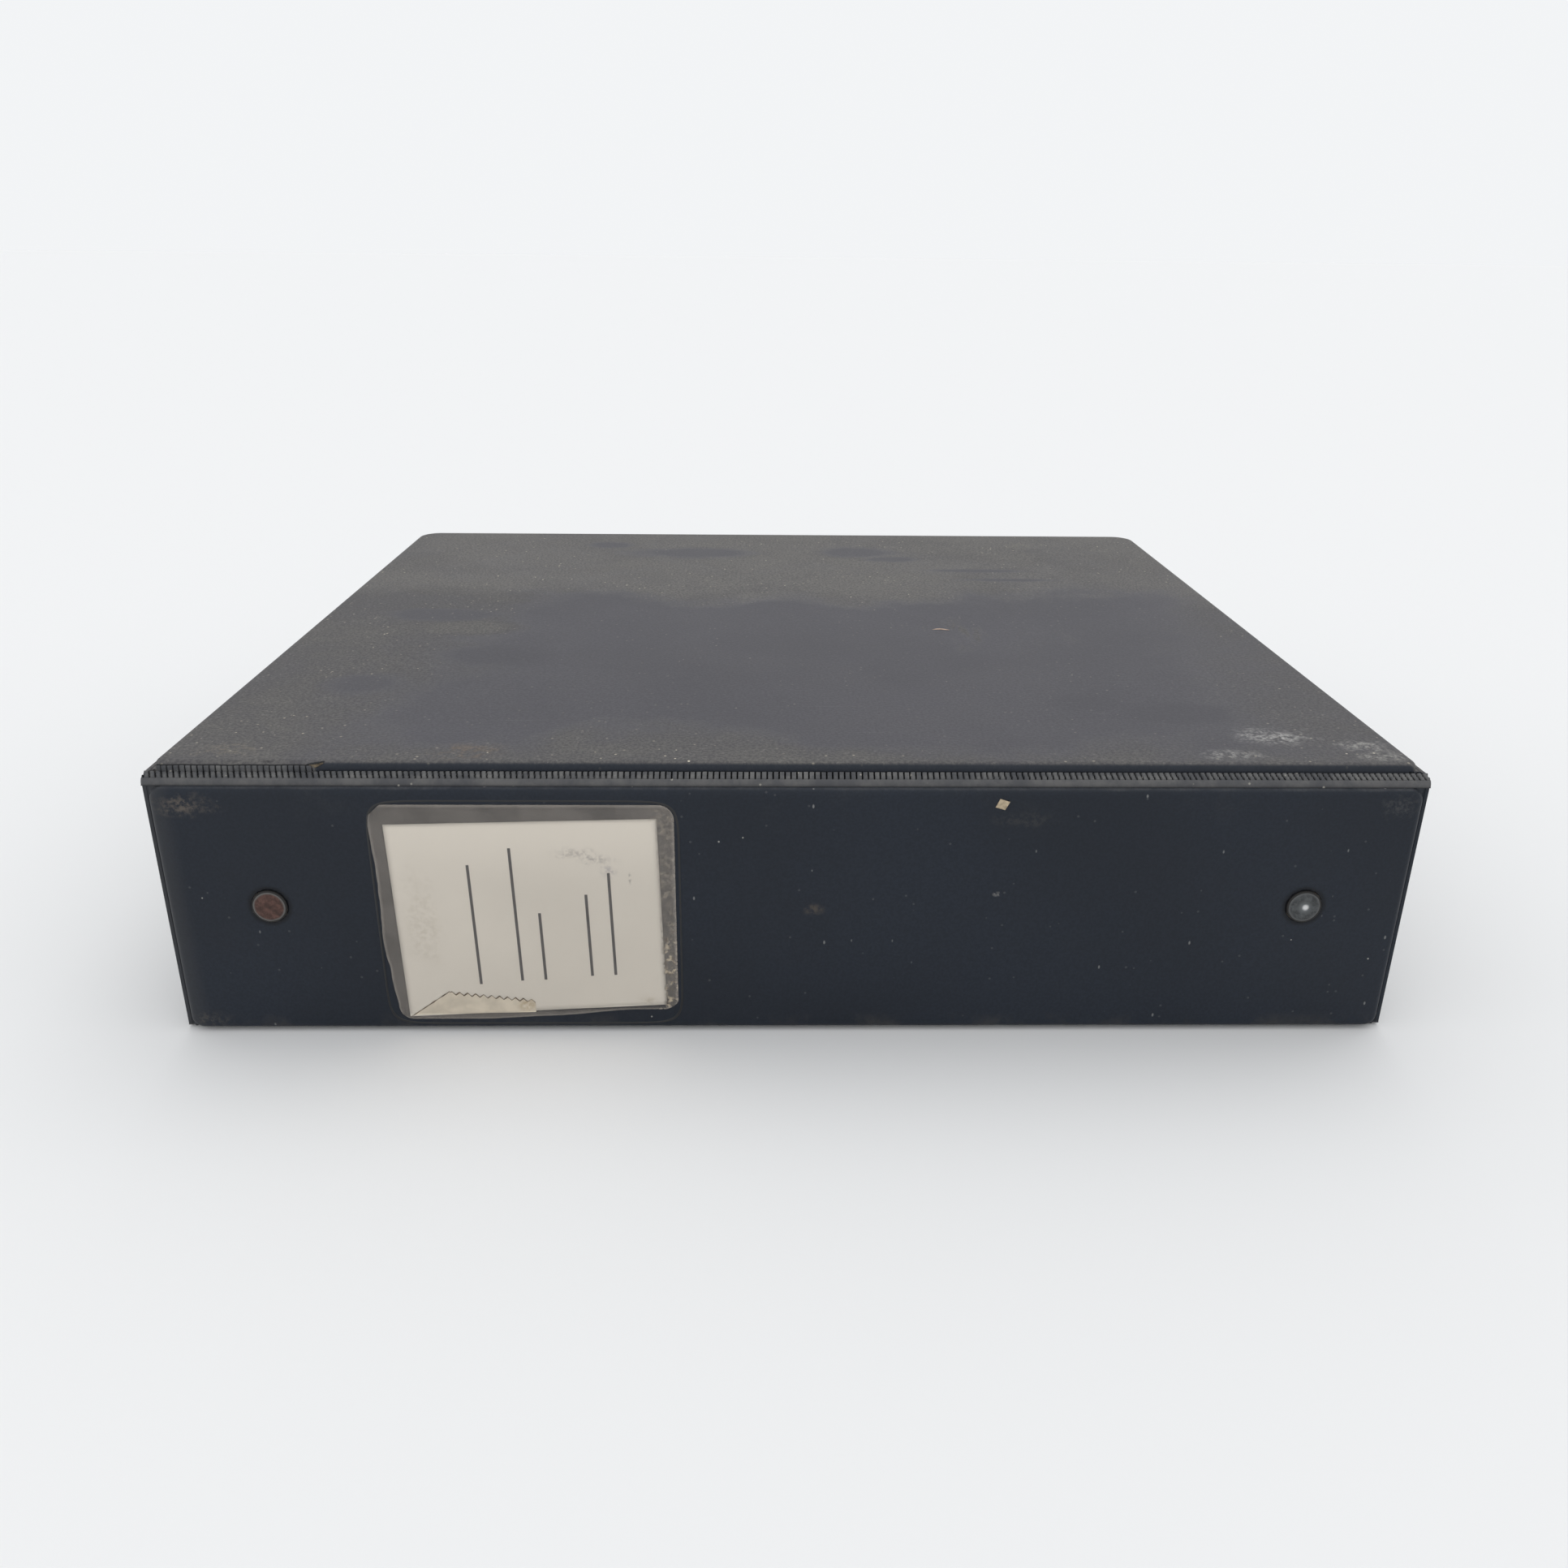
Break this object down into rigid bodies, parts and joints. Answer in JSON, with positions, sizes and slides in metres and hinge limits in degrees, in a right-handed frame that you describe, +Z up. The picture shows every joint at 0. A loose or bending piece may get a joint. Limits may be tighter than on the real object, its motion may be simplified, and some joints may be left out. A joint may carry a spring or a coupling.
{
  "type": "ring binder",
  "caption": "Hard-cover vinyl ring binder for letter paper, lying shut, with hinged covers, a label pocket on the spine and a riveted ring mechanism with end levers.",
  "frame": {"origin": "middle of the closed binder's footprint, on the surface that it lies on", "axes": "+X along the spine towards the tail, +Y from the spine to the fore-edge, +Z up through the closed binder from the back cover to the front cover"},
  "size_m": [0.2922, 0.261, 0.0685],
  "materials": {
    "cover_vinyl": "fine-grained dark navy vinyl, dusty and worn",
    "liner_vinyl": "smooth dark vinyl",
    "chipboard": "grey chipboard",
    "clear_film": "clear vinyl film, dulled",
    "label_paper": "off-white card, smudged",
    "plated_steel": "nickel-plated sheet steel",
    "ring_nickel": "bright nickel-plated wire",
    "rusted_rivet": "steel rivet, rusted",
    "worn_rivet": "dark steel rivet, worn bright in the middle"
  },
  "bodies": {
    "spine": {"spine_board": "chipboard", "spine_outer_vinyl": "cover_vinyl", "spine_liner": "liner_vinyl", "front_hinge_vinyl": "cover_vinyl", "back_hinge_vinyl": "cover_vinyl", "label_pocket": "clear_film", "label_card": "label_paper", "ring_cover_plate": "plated_steel", "left_post": "plated_steel", "right_post": "plated_steel", "left_rivet": "rusted_rivet", "right_rivet": "worn_rivet", "left_lever_pin": "plated_steel", "right_lever_pin": "plated_steel"},
    "front_cover": {"front_board": "chipboard", "front_outer_vinyl": "cover_vinyl", "front_liner": "liner_vinyl", "front_inside_pocket": "clear_film"},
    "back_cover": {"back_board": "chipboard", "back_outer_vinyl": "cover_vinyl", "back_liner": "liner_vinyl", "back_inside_pocket": "clear_film"},
    "front_jaw": {"front_blade": "plated_steel", "front_ring_left": "ring_nickel", "front_ring_middle": "ring_nickel", "front_ring_right": "ring_nickel"},
    "back_jaw": {"back_blade": "plated_steel", "back_ring_left": "ring_nickel", "back_ring_middle": "ring_nickel", "back_ring_right": "ring_nickel"},
    "left_lever": {"left_lever": "plated_steel"},
    "right_lever": {"right_lever": "plated_steel"}
  },
  "joints": [
    {"name": "front_cover_hinge", "type": "hinge", "parent": "spine", "child": "front_cover", "pos_m": [0, -0.12718, 0.0658], "axis": [1, 0, 0], "range_deg": [0, 180], "deforming": ["front_hinge_vinyl"]},
    {"name": "back_cover_hinge", "type": "hinge", "parent": "spine", "child": "back_cover", "pos_m": [0, -0.12828, 0.0016], "axis": [-1, 0, 0], "range_deg": [0, 180], "deforming": ["back_hinge_vinyl"]},
    {"name": "ring_jaws", "type": "hinge", "parent": "spine", "child": "front_jaw", "pos_m": [0, -0.12402, 0.04415], "axis": [1, 0, 0], "range_deg": [0, 9]},
    {"name": "back_jaw_rock", "type": "hinge", "parent": "spine", "child": "back_jaw", "pos_m": [0, -0.12402, 0.02435], "axis": [-1, 0, 0], "range_deg": [0, 9]},
    {"name": "left_lever_tilt", "type": "hinge", "parent": "spine", "child": "left_lever", "pos_m": [-0.131, -0.12402, 0.03425], "axis": [0, 0, 1], "range_deg": [0, 22.01]},
    {"name": "right_lever_tilt", "type": "hinge", "parent": "spine", "child": "right_lever", "pos_m": [0.131, -0.12402, 0.03425], "axis": [0, 0, -1], "range_deg": [0, 22.01]}
  ],
  "couplings": [
    {"joint": "back_jaw_rock", "follows": "ring_jaws", "ratio": 1},
    {"joint": "left_lever_tilt", "follows": "ring_jaws", "ratio": 2.4444},
    {"joint": "right_lever_tilt", "follows": "ring_jaws", "ratio": 2.4444}
  ]
}
